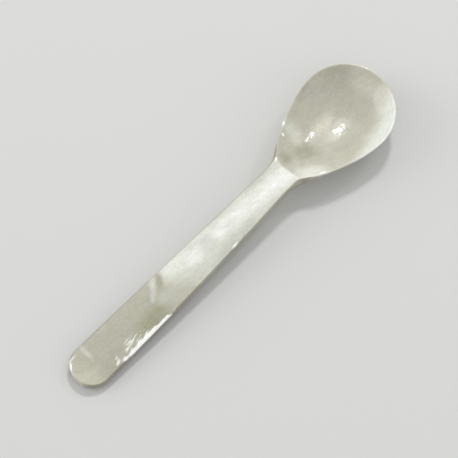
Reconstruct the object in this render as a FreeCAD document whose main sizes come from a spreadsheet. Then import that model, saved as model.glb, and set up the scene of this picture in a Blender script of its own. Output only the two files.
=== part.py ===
"""Salt spoon cut and ground from one piece of mother-of-pearl.

Frame: millimetres, +X from the handle's end to the bowl's tip, +Z up.
The origin lies under the middle of the spoon, on the table that it rests on.
The spoon lies on the flat under its bowl and on the end of its handle, with the bowl's rim level.

It is made as the real one is: sawn to its outline from a thick plate of shell, ground round
underneath and eased along that edge, crowned along the handle, ground level at the rim, hollowed with
a round wheel, and filed at both sides of the neck.
"""
import FreeCAD, Part
import math
import os

import Sketcher

# Driving dimensions, in millimetres and degrees, each written once.
SIZES = {
    # outline seen from above
    "spoon_length": 80.0,
    "bowl_width": 18.7,
    "shoulder_radius": 34.5,
    "neck_width": 5.8,
    "neck_from_tip": 28.8,
    "neck_radius": 8.3,
    "handle_width": 8.15,
    "handle_side_radius": 1700.0,
    "end_radius": 5.1,
    "end_corner_spread": 0.55,
    # underside: the bowl is ground so deep that an edge of even height is left at its rim
    "rim_height": 5.4,
    "rim_edge": 0.4,
    "foot_depth": 0.15,
    "keel_reach": 3.9,
    "arch_from_neck": 6.9,
    "arch_radius": 9.0,
    "neck_underside": 2.4,
    # crowned top of the handle
    "end_thickness": 2.0,
    "crest_rise": 0.2,
    "crown_radius": 20.0,
    "crest_margin": 1.3,
    # hollow of the bowl, so wide that a lip of even width is left round its tip
    "lip_width": 0.3,
    "hollow_depth": 4.4,
    "hollow_from_neck": 2.95,
    "hollow_end_depth": 0.5,
    "hollow_end_radius": 3.0,
    "floor_reach": 3.5,
    # bevels filed on both sides of the neck
    "file_radius": 5.5,
    "file_slope": 52.0,
    "file_half_gap": 2.8,
    "file_from_neck": 1.8,
    "file_length": 6.0,
    "file_lead": 1.5,
    # eased edge underneath
    "edge_radius": 0.2,
}

# How far a cutting profile runs past the shell or the rim, and how far the plate reaches above the line
# that the underside is turned about.
OVERRUN = 2.0
SPARE = 1.0

# Difference below which two directions or sizes count as the same.
PARALLEL = 1e-6

# Points of a sketch element, and the sketch's own origin.
START, END, CENTRE = 1, 2, 3
ORIGIN = (-1, 1)

document = FreeCAD.newDocument("salt_spoon")
sheet = document.addObject("Spreadsheet::Sheet", "Sizes")
for row, (alias, value) in enumerate(SIZES.items(), start=1):
    sheet.set(f"A{row}", alias)
    sheet.set(f"B{row}", str(value))
    sheet.setAlias(f"B{row}", alias)
document.recompute()

body = document.addObject("PartDesign::Body", "Spoon")
body.Label = "spoon"


def worked_out(formula):
    """Value of a formula of the sheet's cells."""
    result = body.evalExpression(formula)
    return float(getattr(result, "Value", result))


def origin_plane(role):
    """The body's own origin plane with this role, such as XY_Plane."""
    return next(item for item in body.Origin.OriginFeatures if item.Role == role)


def new_sketch(name, role):
    """Empty sketch of the body on its own origin plane of this role."""
    sketch = body.newObject("Sketcher::SketchObject", name)
    sketch.AttachmentSupport = [(origin_plane(role), "")]
    sketch.MapMode = "FlatFace"
    return sketch


def point(x, y):
    """Point in a sketch's plane."""
    return FreeCAD.Vector(x, y, 0)


def add_arc(sketch, centre, radius, start, end):
    """Arc from start to end, anticlockwise about its centre, and its place in the sketch."""
    circle = Part.Circle(centre, FreeCAD.Vector(0, 0, 1), radius)
    first = math.atan2(start.y - centre.y, start.x - centre.x)
    last = math.atan2(end.y - centre.y, end.x - centre.x)
    if last <= first:
        last += 2 * math.pi
    return sketch.addGeometry(Part.ArcOfCircle(circle, first, last), False)


def add_line(sketch, start, end, construction=False):
    """Straight line between two points, and its place in the sketch."""
    return sketch.addGeometry(Part.LineSegment(start, end), construction)


def bind(sketch, name, formula, kind, *where):
    """Dimension of a sketch, tied to a formula of the sheet's cells."""
    index = sketch.addConstraint(Sketcher.Constraint(kind, *where, worked_out(formula)))
    sketch.renameConstraint(index, name)
    sketch.setExpression(f"Constraints.{name}", formula)


def hold(sketch, name, geometry, place, across=None, up=None):
    """Tie a point of a sketch element to formulas for its distances from the origin."""
    for kind, formula in (("DistanceX", across), ("DistanceY", up)):
        if formula is None:
            continue
        if worked_out(formula) >= 0:
            bind(sketch, f"{name}_{kind[-1]}", formula, kind, *ORIGIN, geometry, place)
        else:
            bind(sketch, f"{name}_{kind[-1]}", f"-({formula})", kind, geometry, place, *ORIGIN)


def join(sketch, kind, *pairs):
    """Join the ends of elements, either Coincident or Tangent."""
    for pair in pairs:
        sketch.addConstraint(Sketcher.Constraint(kind, *pair))


def circle_meeting(first, first_distance, second, second_distance, lower):
    """Centre at given distances from two points, the lower or the upper one of the two."""
    gap = second - first
    along = (first_distance ** 2 - second_distance ** 2 + gap.Length ** 2) / (2 * gap.Length)
    aside = math.sqrt(first_distance ** 2 - along ** 2)
    direction = FreeCAD.Vector(gap).normalize()
    normal = point(-direction.y, direction.x)
    choices = [first + direction * along + normal * side * aside for side in (1, -1)]
    return min(choices, key=lambda centre: centre.y if lower else -centre.y)


def towards(origin, target, distance):
    """Point at a distance from the origin in the direction of the target."""
    return origin + FreeCAD.Vector(target - origin).normalize() * distance


# Formulas that several sketches share. Inside and underside are turned about lines at their own heights.
TIP_X = "Sizes.spoon_length / 2"
END_X = "-Sizes.spoon_length / 2"
BOWL_X = "Sizes.spoon_length / 2 - Sizes.bowl_width / 2"
NECK_X = "Sizes.spoon_length / 2 - Sizes.neck_from_tip"
BEND_X = f"{NECK_X} + Sizes.arch_from_neck"
EDGE_Z = "(Sizes.rim_height - Sizes.rim_edge)"
OUTER_SPAN = f"(Sizes.bowl_width^2 / 4 + {EDGE_Z}^2 - Sizes.foot_depth^2)"
OUTER_Z = f"{OUTER_SPAN} / (2 * (Sizes.foot_depth + {EDGE_Z}))"
PLATE_Z = f"{OUTER_Z} + {SPARE}"
HALF_MOUTH = "(Sizes.bowl_width / 2 - Sizes.lip_width)"
INNER_RISE = f"({HALF_MOUTH}^2 - Sizes.hollow_depth^2) / (2 * Sizes.hollow_depth)"
INNER_Z = f"Sizes.rim_height + {INNER_RISE}"
FLOOR_Z = "Sizes.rim_height - Sizes.hollow_depth"
CREST_X = f"{NECK_X} + Sizes.hollow_from_neck"
CREST_Z = "Sizes.rim_height + Sizes.crest_rise"
CROWN_END_X = f"{CREST_X} + Sizes.crest_margin"
CORNER_Y = "Sizes.end_corner_spread / 2"
CORNER_RADIUS = f"Sizes.handle_width / 2 - {CORNER_Y}"


def outline_sketch():
    """Outline from above: ten arcs, each running smoothly into the next."""
    sketch = new_sketch("Outline", "XY_Plane")
    tip_radius = worked_out("Sizes.bowl_width / 2")
    end_radius = worked_out("Sizes.end_radius")
    corner_radius = worked_out(CORNER_RADIUS)
    side_radius = worked_out("Sizes.handle_side_radius")
    neck_radius = worked_out("Sizes.neck_radius")
    shoulder_radius = worked_out("Sizes.shoulder_radius")
    neck_y = "Sizes.neck_width / 2 + Sizes.neck_radius"

    tip = point(worked_out(BOWL_X), 0)
    end = point(worked_out(END_X) + end_radius, 0)
    neck = point(worked_out(NECK_X), worked_out(neck_y))
    corner_height = worked_out(CORNER_Y)
    corner_back = math.sqrt((end_radius - corner_radius) ** 2 - corner_height ** 2)
    corner = point(end.x - corner_back, corner_height)
    shoulder = circle_meeting(
        tip, shoulder_radius - tip_radius, neck, shoulder_radius + neck_radius, lower=True
    )
    side = circle_meeting(
        corner, side_radius - corner_radius, neck, side_radius + neck_radius, lower=True
    )

    end_to_corner = towards(end, corner, end_radius)
    corner_to_side = towards(side, corner, side_radius)
    side_to_neck = towards(side, neck, side_radius)
    neck_to_shoulder = towards(neck, shoulder, neck_radius)
    shoulder_to_tip = towards(shoulder, tip, shoulder_radius)

    def across(spot):
        """The same spot on the other half."""
        return point(spot.x, -spot.y)

    tip_arc = add_arc(sketch, tip, tip_radius, across(shoulder_to_tip), shoulder_to_tip)
    end_arc = add_arc(sketch, end, end_radius, end_to_corner, across(end_to_corner))
    left = [
        add_arc(sketch, shoulder, shoulder_radius, shoulder_to_tip, neck_to_shoulder),
        add_arc(sketch, neck, neck_radius, side_to_neck, neck_to_shoulder),
        add_arc(sketch, side, side_radius, side_to_neck, corner_to_side),
        add_arc(sketch, corner, corner_radius, corner_to_side, end_to_corner),
    ]
    right = [
        add_arc(
            sketch, across(shoulder), shoulder_radius, across(neck_to_shoulder), across(shoulder_to_tip)
        ),
        add_arc(sketch, across(neck), neck_radius, across(neck_to_shoulder), across(side_to_neck)),
        add_arc(sketch, across(side), side_radius, across(corner_to_side), across(side_to_neck)),
        add_arc(sketch, across(corner), corner_radius, across(end_to_corner), across(corner_to_side)),
    ]
    join(
        sketch, "Tangent",
        (tip_arc, END, left[0], START),
        (left[0], END, left[1], END),
        (left[1], START, left[2], START),
        (left[2], END, left[3], START),
        (left[3], END, end_arc, START),
        (end_arc, END, right[3], START),
        (right[3], END, right[2], START),
        (right[2], END, right[1], END),
        (right[1], START, right[0], START),
        (right[0], END, tip_arc, START),
    )

    bind(sketch, "tip_radius", "Sizes.bowl_width / 2", "Radius", tip_arc)
    bind(sketch, "end_radius", "Sizes.end_radius", "Radius", end_arc)
    radii = {
        "shoulder_radius": "Sizes.shoulder_radius",
        "neck_radius": "Sizes.neck_radius",
        "side_radius": "Sizes.handle_side_radius",
        "corner_radius": CORNER_RADIUS,
    }
    for (label, formula), arc, twin in zip(radii.items(), left, right):
        bind(sketch, label, formula, "Radius", arc)
        sketch.addConstraint(Sketcher.Constraint("Equal", arc, twin))
    join(sketch, "PointOnObject", (tip_arc, CENTRE, -1), (end_arc, CENTRE, -1))
    hold(sketch, "tip", tip_arc, CENTRE, across=BOWL_X)
    hold(sketch, "end", end_arc, CENTRE, across=f"{END_X} + Sizes.end_radius")
    hold(sketch, "neck_left", left[1], CENTRE, across=NECK_X, up=neck_y)
    hold(sketch, "neck_right", right[1], CENTRE, across=NECK_X, up=f"-({neck_y})")
    hold(sketch, "corner_left", left[3], CENTRE, up=CORNER_Y)
    hold(sketch, "corner_right", right[3], CENTRE, up=f"-({CORNER_Y})")
    return sketch


outline = outline_sketch()
blank = body.newObject("PartDesign::Pad", "Blank")
blank.Profile = outline
blank.setExpression("Length", PLATE_Z)


def crossing(first, first_way, second, second_way):
    """Point where two straight lines cross, each given by a point and its way."""
    gap = second - first
    turn = first_way.x * second_way.y - first_way.y * second_way.x
    return first + first_way * ((gap.x * second_way.y - gap.y * second_way.x) / turn)


def underside_sketch():
    """Side view of all that is ground away underneath: handle, neck arch, keel and tip."""
    sketch = new_sketch("Underside", "XZ_Plane")
    arch_radius = worked_out("Sizes.arch_radius")
    keel_reach = worked_out("Sizes.keel_reach")
    keel_z = -worked_out("Sizes.foot_depth")
    tip_radius_formula = f"{OUTER_Z} + Sizes.foot_depth"
    tip_radius = worked_out(tip_radius_formula)

    heel = point(worked_out(END_X), 0)
    neck = point(worked_out(NECK_X), worked_out("Sizes.neck_underside"))
    along = FreeCAD.Vector(neck - heel).normalize()
    below = point(along.y, -along.x)
    tip = point(worked_out(BOWL_X), worked_out(OUTER_Z))
    bend_x = worked_out(BEND_X)
    bend = heel + along * ((bend_x - heel.x) / along.x)
    keel_corner = point(tip.x - keel_reach, keel_z)
    down = FreeCAD.Vector(keel_corner - bend).normalize()
    under = point(down.y, -down.x)
    arch = crossing(heel + below * arch_radius, along, bend + under * arch_radius, down)
    slope_to_keel = keel_corner - down * keel_reach
    keel_radius = keel_reach / math.tan(math.asin(-down.y) / 2)
    keel = point(tip.x, keel_z + keel_radius)

    start = heel - along * (OVERRUN / along.x)
    handle_to_arch = arch - below * arch_radius
    arch_to_slope = arch - under * arch_radius
    keel_to_tip = point(tip.x, keel_z)
    top = worked_out("Sizes.rim_height") + OVERRUN
    tip_end = point(tip.x + math.sqrt(tip_radius ** 2 - (top - tip.y) ** 2), top)
    low = -worked_out("Sizes.bowl_width / 2")

    handle_line = add_line(sketch, start, handle_to_arch)
    arch_arc = add_arc(sketch, arch, arch_radius, arch_to_slope, handle_to_arch)
    slope_line = add_line(sketch, arch_to_slope, slope_to_keel)
    keel_arc = add_arc(sketch, keel, keel_radius, slope_to_keel, keel_to_tip)
    tip_arc = add_arc(sketch, tip, tip_radius, keel_to_tip, tip_end)
    right_line = add_line(sketch, tip_end, point(tip_end.x, low))
    low_line = add_line(sketch, point(tip_end.x, low), point(start.x, low))
    left_line = add_line(sketch, point(start.x, low), start)
    axis = add_line(sketch, point(heel.x, tip.y), tip, construction=True)
    spots = [sketch.addGeometry(Part.Point(spot), True) for spot in (heel, neck, bend, keel_corner)]

    join(
        sketch, "Tangent",
        (handle_line, END, arch_arc, END),
        (arch_arc, START, slope_line, START),
        (slope_line, END, keel_arc, START),
        (keel_arc, END, tip_arc, START),
    )
    join(
        sketch, "Coincident",
        (tip_arc, END, right_line, START),
        (right_line, END, low_line, START),
        (low_line, END, left_line, START),
        (left_line, END, handle_line, START),
        (axis, END, tip_arc, CENTRE),
    )
    join(sketch, "Vertical", (right_line,), (left_line,))
    join(sketch, "Horizontal", (low_line,), (axis,))
    join(sketch, "PointOnObject", *[(spot, START, handle_line) for spot in spots[:3]])
    join(sketch, "PointOnObject", *[(spot, START, slope_line) for spot in spots[2:]])
    join(sketch, "PointOnObject", (spots[0], START, -1))
    bind(sketch, "arch_radius", "Sizes.arch_radius", "Radius", arch_arc)
    bind(sketch, "tip_radius", tip_radius_formula, "Radius", tip_arc)
    hold(sketch, "tip", tip_arc, CENTRE, across=BOWL_X, up=OUTER_Z)
    hold(sketch, "keel", keel_arc, CENTRE, across=BOWL_X)
    hold(sketch, "heel", spots[0], START, across=END_X)
    hold(sketch, "neck", spots[1], START, across=NECK_X, up="Sizes.neck_underside")
    hold(sketch, "bend", spots[2], START, across=BEND_X)
    hold(sketch, "corner", spots[3], START, across=f"{BOWL_X} - Sizes.keel_reach", up="-Sizes.foot_depth")
    hold(sketch, "axis", axis, START, across=END_X)
    hold(sketch, "left", left_line, START, across=f"{END_X} - {OVERRUN}", up="-Sizes.bowl_width / 2")
    hold(sketch, "top", tip_arc, END, up=f"Sizes.rim_height + {OVERRUN}")
    return sketch


def groove(name, profile):
    """Cut a profile turned half round its own construction line, as far to each side."""
    cut = body.newObject("PartDesign::Groove", name)
    cut.Profile = profile
    cut.ReferenceAxis = (profile, ["Axis0"])
    cut.Angle = 180
    cut.Midplane = True
    return cut


def finished(feature):
    """The recomputed feature, which has to be one valid solid."""
    document.recompute()
    shape = feature.Shape
    if "Invalid" in feature.State or shape.isNull() or not shape.isValid() or len(shape.Solids) != 1:
        raise RuntimeError(f"{feature.Name} is not one valid solid: {feature.State}")
    print(f"{feature.Name}: {shape.Volume:.1f} cubic millimetres, {len(shape.Faces)} faces")
    return feature


def is_wall(face):
    """Whether a face is an upright wall of the outline."""
    surface = face.Surface
    return isinstance(surface, Part.Cylinder) and abs(surface.Axis.z) > 1 - PARALLEL


def is_below(face, spot):
    """Whether a face looks down at this spot."""
    return face.normalAt(*face.Surface.parameter(spot)).z < -PARALLEL


def edges_underneath(shape):
    """Names of the edges at which an upright wall meets a face that looks down."""
    names = []
    for number, edge in enumerate(shape.Edges, start=1):
        spot = edge.valueAt((edge.FirstParameter + edge.LastParameter) / 2)
        faces = shape.ancestorsOfType(edge, Part.Face)
        if any(is_wall(face) for face in faces) and any(is_below(face, spot) for face in faces):
            names.append(f"Edge{number}")
    return names


finished(blank)
ground = finished(groove("GroundUnderside", underside_sketch()))
eased_underside = body.newObject("PartDesign::Fillet", "EasedUnderside")
eased_underside.Base = (ground, edges_underneath(ground.Shape))
eased_underside.setExpression("Radius", "Sizes.edge_radius")
finished(eased_underside)


def crown_sketch():
    """Side view of what is ground away above the handle, turned about a sloping line below it."""
    sketch = new_sketch("Crown", "XZ_Plane")
    heel = point(worked_out(END_X), worked_out("Sizes.end_thickness"))
    crest = point(worked_out(CREST_X), worked_out(CREST_Z))
    low_end = point(heel.x, heel.y - worked_out("Sizes.crown_radius"))
    low_neck = point(crest.x, crest.y - worked_out("Sizes.crown_radius"))
    slope = (crest.y - heel.y) / (crest.x - heel.x)
    start = point(heel.x - OVERRUN, heel.y - slope * OVERRUN)
    stop_x = worked_out(CROWN_END_X)
    stop = point(stop_x, heel.y + slope * (stop_x - heel.x))
    high = worked_out(PLATE_Z) + OVERRUN

    axis = add_line(sketch, low_end, low_neck, construction=True)
    top_line = add_line(sketch, start, stop)
    right_line = add_line(sketch, stop, point(stop.x, high))
    high_line = add_line(sketch, point(stop.x, high), point(start.x, high))
    left_line = add_line(sketch, point(start.x, high), start)
    spots = [sketch.addGeometry(Part.Point(spot), True) for spot in (heel, crest)]
    join(
        sketch, "Coincident",
        (top_line, END, right_line, START),
        (right_line, END, high_line, START),
        (high_line, END, left_line, START),
        (left_line, END, top_line, START),
    )
    join(sketch, "Vertical", (right_line,), (left_line,))
    join(sketch, "Horizontal", (high_line,))
    join(sketch, "PointOnObject", (spots[0], START, top_line), (spots[1], START, top_line))
    hold(sketch, "heel", spots[0], START, across=END_X, up="Sizes.end_thickness")
    hold(sketch, "crest", spots[1], START, across=CREST_X, up=CREST_Z)
    hold(sketch, "axis_end", axis, START, across=END_X,
         up="Sizes.end_thickness - Sizes.crown_radius")
    hold(sketch, "axis_neck", axis, END, across=CREST_X, up=f"{CREST_Z} - Sizes.crown_radius")
    hold(sketch, "left", left_line, START, across=f"{END_X} - {OVERRUN}", up=f"{PLATE_Z} + {OVERRUN}")
    hold(sketch, "right", right_line, END, across=CROWN_END_X)
    return sketch


finished(groove("CrownedHandle", crown_sketch()))


def rim_sketch():
    """Side view of what is ground off level above the bowl."""
    sketch = new_sketch("Rim", "XZ_Plane")
    left, right = worked_out(CROWN_END_X), worked_out(TIP_X) + OVERRUN
    low, high = worked_out("Sizes.rim_height"), worked_out(PLATE_Z) + OVERRUN
    corners = [point(left, low), point(right, low), point(right, high), point(left, high)]
    lines = [add_line(sketch, corners[i], corners[(i + 1) % 4]) for i in range(4)]
    join(sketch, "Coincident", *[(lines[i], END, lines[(i + 1) % 4], START) for i in range(4)])
    join(sketch, "Horizontal", (lines[0],), (lines[2],))
    join(sketch, "Vertical", (lines[1],), (lines[3],))
    hold(sketch, "low", lines[0], START, across=CROWN_END_X, up="Sizes.rim_height")
    hold(sketch, "high", lines[2], START, across=f"{TIP_X} + {OVERRUN}", up=f"{PLATE_Z} + {OVERRUN}")
    return sketch


rim = body.newObject("PartDesign::Pocket", "LevelRim")
rim.Profile = rim_sketch()
rim.Type = "ThroughAll"
rim.Midplane = True
finished(rim)


def hollow_sketch():
    """Half of the round wheel's shape in side view, from its axis down to the bowl's floor."""
    sketch = new_sketch("Hollow", "XZ_Plane")
    end_radius = worked_out("Sizes.hollow_end_radius")
    end_depth = worked_out("Sizes.hollow_end_depth")
    floor_reach = worked_out("Sizes.floor_reach")
    floor_z = worked_out(FLOOR_Z)
    tip = point(worked_out(BOWL_X), worked_out(INNER_Z))
    tip_radius = tip.y - floor_z
    floor = point(tip.x, floor_z)
    edge = point(worked_out(CREST_X), worked_out("Sizes.rim_height"))
    slope_top = point(edge.x, edge.y - end_depth)
    floor_corner = point(tip.x - floor_reach, floor_z)
    down = FreeCAD.Vector(floor_corner - slope_top).normalize()
    inward = point(-down.y, down.x)
    slope_to_floor = floor_corner - down * floor_reach
    floor_radius = floor_reach / math.tan(math.asin(-down.y) / 2)
    centre = point(tip.x, floor_z + floor_radius)
    edge_above = (edge - slope_top).dot(inward)
    edge_behind = (slope_top - edge).dot(down)
    edge_beyond = math.sqrt(end_radius ** 2 - (end_radius - edge_above) ** 2)
    end_to_slope = slope_top + down * (edge_beyond - edge_behind)
    end = end_to_slope + inward * end_radius
    start = point(end.x - end_radius, end.y)
    stop = point(tip.x + tip_radius, tip.y)

    axis = add_line(sketch, point(start.x, tip.y), tip, construction=True)
    end_arc = add_arc(sketch, end, end_radius, start, end_to_slope)
    slope_line = add_line(sketch, end_to_slope, slope_to_floor)
    floor_arc = add_arc(sketch, centre, floor_radius, slope_to_floor, floor)
    tip_arc = add_arc(sketch, tip, tip_radius, floor, stop)
    axis_line = add_line(sketch, stop, point(start.x, tip.y))
    left_line = add_line(sketch, point(start.x, tip.y), start)
    spots = [sketch.addGeometry(Part.Point(spot), True) for spot in (edge, slope_top, floor_corner)]
    join(
        sketch, "Tangent",
        (left_line, END, end_arc, START),
        (end_arc, END, slope_line, START),
        (slope_line, END, floor_arc, START),
        (floor_arc, END, tip_arc, START),
    )
    join(
        sketch, "Coincident",
        (tip_arc, END, axis_line, START),
        (axis_line, END, left_line, START),
        (axis, START, left_line, START),
        (axis, END, tip_arc, CENTRE),
    )
    join(sketch, "Horizontal", (axis_line,))
    join(sketch, "Vertical", (left_line,))
    join(sketch, "PointOnObject", (spots[0], START, end_arc))
    join(sketch, "PointOnObject", (spots[1], START, slope_line), (spots[2], START, slope_line))
    bind(sketch, "end_radius", "Sizes.hollow_end_radius", "Radius", end_arc)
    bind(sketch, "tip_radius", f"{INNER_RISE} + Sizes.hollow_depth", "Radius", tip_arc)
    hold(sketch, "tip", tip_arc, CENTRE, across=BOWL_X, up=INNER_Z)
    hold(sketch, "floor", floor_arc, CENTRE, across=BOWL_X)
    hold(sketch, "edge", spots[0], START, across=CREST_X, up="Sizes.rim_height")
    hold(sketch, "slope", spots[1], START, across=CREST_X, up="Sizes.rim_height - Sizes.hollow_end_depth")
    hold(sketch, "corner", spots[2], START, across=f"{BOWL_X} - Sizes.floor_reach", up=FLOOR_Z)
    hold(sketch, "axis", axis_line, START, up=INNER_Z)
    return sketch


finished(groove("HollowedBowl", hollow_sketch()))


def filed_bevel():
    """Round file laid across the shoulder of the neck, sloping down and outwards."""
    slope_sine, slope_cosine = "sin(Sizes.file_slope)", "cos(Sizes.file_slope)"
    cylinder = body.newObject("PartDesign::SubtractiveCylinder", "FiledBevel")
    cylinder.Placement = FreeCAD.Placement(
        point(0, 0), FreeCAD.Rotation(FreeCAD.Vector(-1, 0, 0), 90 + worked_out("Sizes.file_slope"))
    )
    formulas = {
        "Radius": "Sizes.file_radius",
        "Height": "Sizes.file_length",
        "Placement.Base.x": f"{NECK_X} + Sizes.file_from_neck",
        "Placement.Base.y":
            f"Sizes.file_half_gap + Sizes.file_radius * {slope_sine}"
            f" - Sizes.file_lead * {slope_cosine}",
        "Placement.Base.z":
            f"Sizes.rim_height + Sizes.file_radius * {slope_cosine}"
            f" + Sizes.file_lead * {slope_sine}",
        "Placement.Rotation.Angle": "90 + Sizes.file_slope",
    }
    for place, formula in formulas.items():
        cylinder.setExpression(place, formula)
    return cylinder


bevel = finished(filed_bevel())
both_bevels = body.newObject("PartDesign::Mirrored", "BothBevels")
both_bevels.Originals = [bevel]
both_bevels.MirrorPlane = (origin_plane("XZ_Plane"), [""])
body.Tip = both_bevels
finished(both_bevels)


for item in document.Objects:
    if "Invalid" in item.State or "Error" in item.State:
        raise RuntimeError(f"{item.Name} is in error: {item.State}")
shape = body.Shape
if shape.isNull() or not shape.isValid() or len(shape.Solids) != 1:
    raise RuntimeError("The spoon is not one valid solid")
os.makedirs("parts", exist_ok=True)
shape.exportStep("parts/spoon.step")
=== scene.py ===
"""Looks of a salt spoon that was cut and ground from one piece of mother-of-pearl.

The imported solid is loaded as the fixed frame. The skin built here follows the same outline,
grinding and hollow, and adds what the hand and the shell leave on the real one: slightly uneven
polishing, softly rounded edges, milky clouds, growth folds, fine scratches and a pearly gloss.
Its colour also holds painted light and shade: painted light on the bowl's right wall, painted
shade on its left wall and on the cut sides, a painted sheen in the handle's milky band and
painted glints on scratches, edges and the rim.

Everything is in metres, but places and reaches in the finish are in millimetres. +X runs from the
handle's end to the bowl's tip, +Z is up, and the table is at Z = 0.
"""
import logging
import math
from dataclasses import dataclass, field
from enum import Enum

import bpy
import numpy as np
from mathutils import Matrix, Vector


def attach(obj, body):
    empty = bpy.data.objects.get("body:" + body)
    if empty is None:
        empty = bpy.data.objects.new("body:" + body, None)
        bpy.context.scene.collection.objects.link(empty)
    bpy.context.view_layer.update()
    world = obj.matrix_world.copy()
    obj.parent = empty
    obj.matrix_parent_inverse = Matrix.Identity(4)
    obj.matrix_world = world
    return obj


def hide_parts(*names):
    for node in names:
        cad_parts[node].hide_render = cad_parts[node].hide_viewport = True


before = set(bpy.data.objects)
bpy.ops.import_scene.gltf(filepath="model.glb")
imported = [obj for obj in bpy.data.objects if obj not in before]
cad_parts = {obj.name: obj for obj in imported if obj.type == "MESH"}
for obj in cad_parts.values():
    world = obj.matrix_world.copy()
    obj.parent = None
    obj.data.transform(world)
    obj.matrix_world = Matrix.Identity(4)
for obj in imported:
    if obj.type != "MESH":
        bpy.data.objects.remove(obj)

LOG = logging.getLogger("salt_spoon")
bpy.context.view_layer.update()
IMAGE_SIDE = 458
OPAQUE = 1.0
MM = 0.001
PER_MM = 1.0 / MM
# higher than anything, for places that a cut doesn't reach
FAR = 1.0
# top of the bowl's rim above the table
RIM_HEIGHT = 5.4 * MM

Array = np.ndarray
Socket = bpy.types.NodeSocket
Triple = tuple[float, float, float]
Colour = tuple[float, float, float]


def soft_least(first: Array, second: Array, softness: float) -> Array:
    """Lesser of two heights with their crossing rounded off.

    Formula in words: where the two differ by less than the softness, a parabola joins them, and
    at the crossing it lies a quarter of the softness below both.

    Args:
        first: heights of one surface.
        second: heights of the other surface.
        softness: height difference within which the two are blended.

    Returns:
        Blended heights, in the same shape.
    """
    share = np.clip(0.5 + 0.5 * (second - first) / softness, 0.0, 1.0)
    return second + (first - second) * share - softness * share * (1.0 - share)


def ease(value: Array, low: float, high: float) -> Array:
    """Smooth step from 0 at low to 1 at high."""
    share = np.clip((value - low) / (high - low), 0.0, 1.0)
    return share * share * (3.0 - 2.0 * share)


@dataclass
class Outline:
    """Outline from above, a chain of tangent arcs from the handle's end to the bowl's tip."""

    length: float = 79.98 * MM
    bowl_width: float = 18.69 * MM
    shoulder_radius: float = 34.5 * MM
    neck_width: float = 5.8 * MM
    neck_from_tip: float = 28.8 * MM
    neck_radius: float = 8.3 * MM
    handle_width: float = 8.15 * MM
    handle_side_radius: float = 1700.0 * MM
    end_radius: float = 5.1 * MM
    end_corner_spread: float = 0.55 * MM
    fine_step: float = 0.02 * MM
    least_steps: int = 16

    @property
    def end_x(self) -> float:
        """Place of the handle's end."""
        return -self.length / 2

    @property
    def bowl_x(self) -> float:
        """Place of the centre of the bowl's round tip."""
        return self.length / 2 - self.bowl_width / 2

    @property
    def neck_x(self) -> float:
        """Place of the narrowest part of the neck."""
        return self.length / 2 - self.neck_from_tip

    @staticmethod
    def meeting(first: Array, first_reach: float, second: Array, second_reach: float) -> Array:
        """Lower of the two points that lie at given distances from two others.

        Formula in words: two circles cross on a line square to the one between their centres.
        Their squared radii give its place there, and a right triangle the distance to either side.

        Args:
            first: one centre.
            first_reach: distance from it.
            second: other centre.
            second_reach: distance from that.

        Returns:
            Crossing with the lesser second coordinate.
        """
        gap = second - first
        span = math.hypot(*gap)
        along = (first_reach**2 - second_reach**2 + span**2) / (2 * span)
        aside = math.sqrt(first_reach**2 - along**2)
        forward = gap / span
        normal = np.array([-forward[1], forward[0]])
        both = [first + forward * along + normal * side * aside for side in (1, -1)]
        return min(both, key=lambda point: point[1])

    @staticmethod
    def towards(origin: Array, target: Array, distance: float) -> Array:
        """Point at a distance from the origin in the direction of the target."""
        return origin + (target - origin) / math.hypot(*(target - origin)) * distance

    def arc(self, centre: Array, start: Array, stop: Array, clockwise: bool) -> Array:
        """Points of an arc about a centre, from start to stop.

        Args:
            centre: centre of the arc.
            start: first point, which also gives the radius.
            stop: last point.
            clockwise: which way round it runs.

        Returns:
            Array of points, evenly spaced along the arc.
        """
        radius = math.hypot(*(start - centre))
        first = math.atan2(start[1] - centre[1], start[0] - centre[0])
        last = math.atan2(stop[1] - centre[1], stop[0] - centre[0])
        turn = (last - first) % (2 * math.pi)
        if clockwise:
            turn -= 2 * math.pi
        steps = max(self.least_steps, int(abs(turn) * radius / self.fine_step))
        angles = first + np.linspace(0.0, turn, steps)
        return centre + radius * np.stack([np.cos(angles), np.sin(angles)], axis=1)

    def left_half(self) -> Array:
        """Fine points of the left half.

        Formula in words: two arcs that touch share a line through both centres. So the centre of
        a joining arc lies at the sum or difference of the radii from both its neighbours' centres,
        and the points where arcs meet lie on those lines.

        Returns:
            Array of points, from the handle's end to the bowl's tip.
        """
        tip_radius = self.bowl_width / 2
        tip = np.array([self.bowl_x, 0.0])
        end = np.array([self.end_x + self.end_radius, 0.0])
        neck = np.array([self.neck_x, self.neck_width / 2 + self.neck_radius])
        corner_y = self.end_corner_spread / 2
        corner_radius = self.handle_width / 2 - corner_y
        corner_back = math.sqrt((self.end_radius - corner_radius) ** 2 - corner_y**2)
        corner = np.array([end[0] - corner_back, corner_y])
        shoulder = self.meeting(
            tip, self.shoulder_radius - tip_radius, neck, self.shoulder_radius + self.neck_radius
        )
        side_reach = self.handle_side_radius
        side = self.meeting(corner, side_reach - corner_radius, neck, side_reach + self.neck_radius)

        first = np.array([self.end_x, 0.0])
        end_to_corner = self.towards(end, corner, self.end_radius)
        corner_to_side = self.towards(side, corner, side_reach)
        side_to_neck = self.towards(side, neck, side_reach)
        neck_to_shoulder = self.towards(neck, shoulder, self.neck_radius)
        shoulder_to_tip = self.towards(shoulder, tip, self.shoulder_radius)
        last = np.array([self.length / 2, 0.0])
        runs = [
            self.arc(end, first, end_to_corner, True),
            self.arc(corner, end_to_corner, corner_to_side, True),
            self.arc(side, corner_to_side, side_to_neck, True),
            self.arc(neck, side_to_neck, neck_to_shoulder, False),
            self.arc(shoulder, neck_to_shoulder, shoulder_to_tip, True),
            self.arc(tip, shoulder_to_tip, last, True),
        ]
        return np.concatenate([runs[0], *[run[1:] for run in runs[1:]]])


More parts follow.
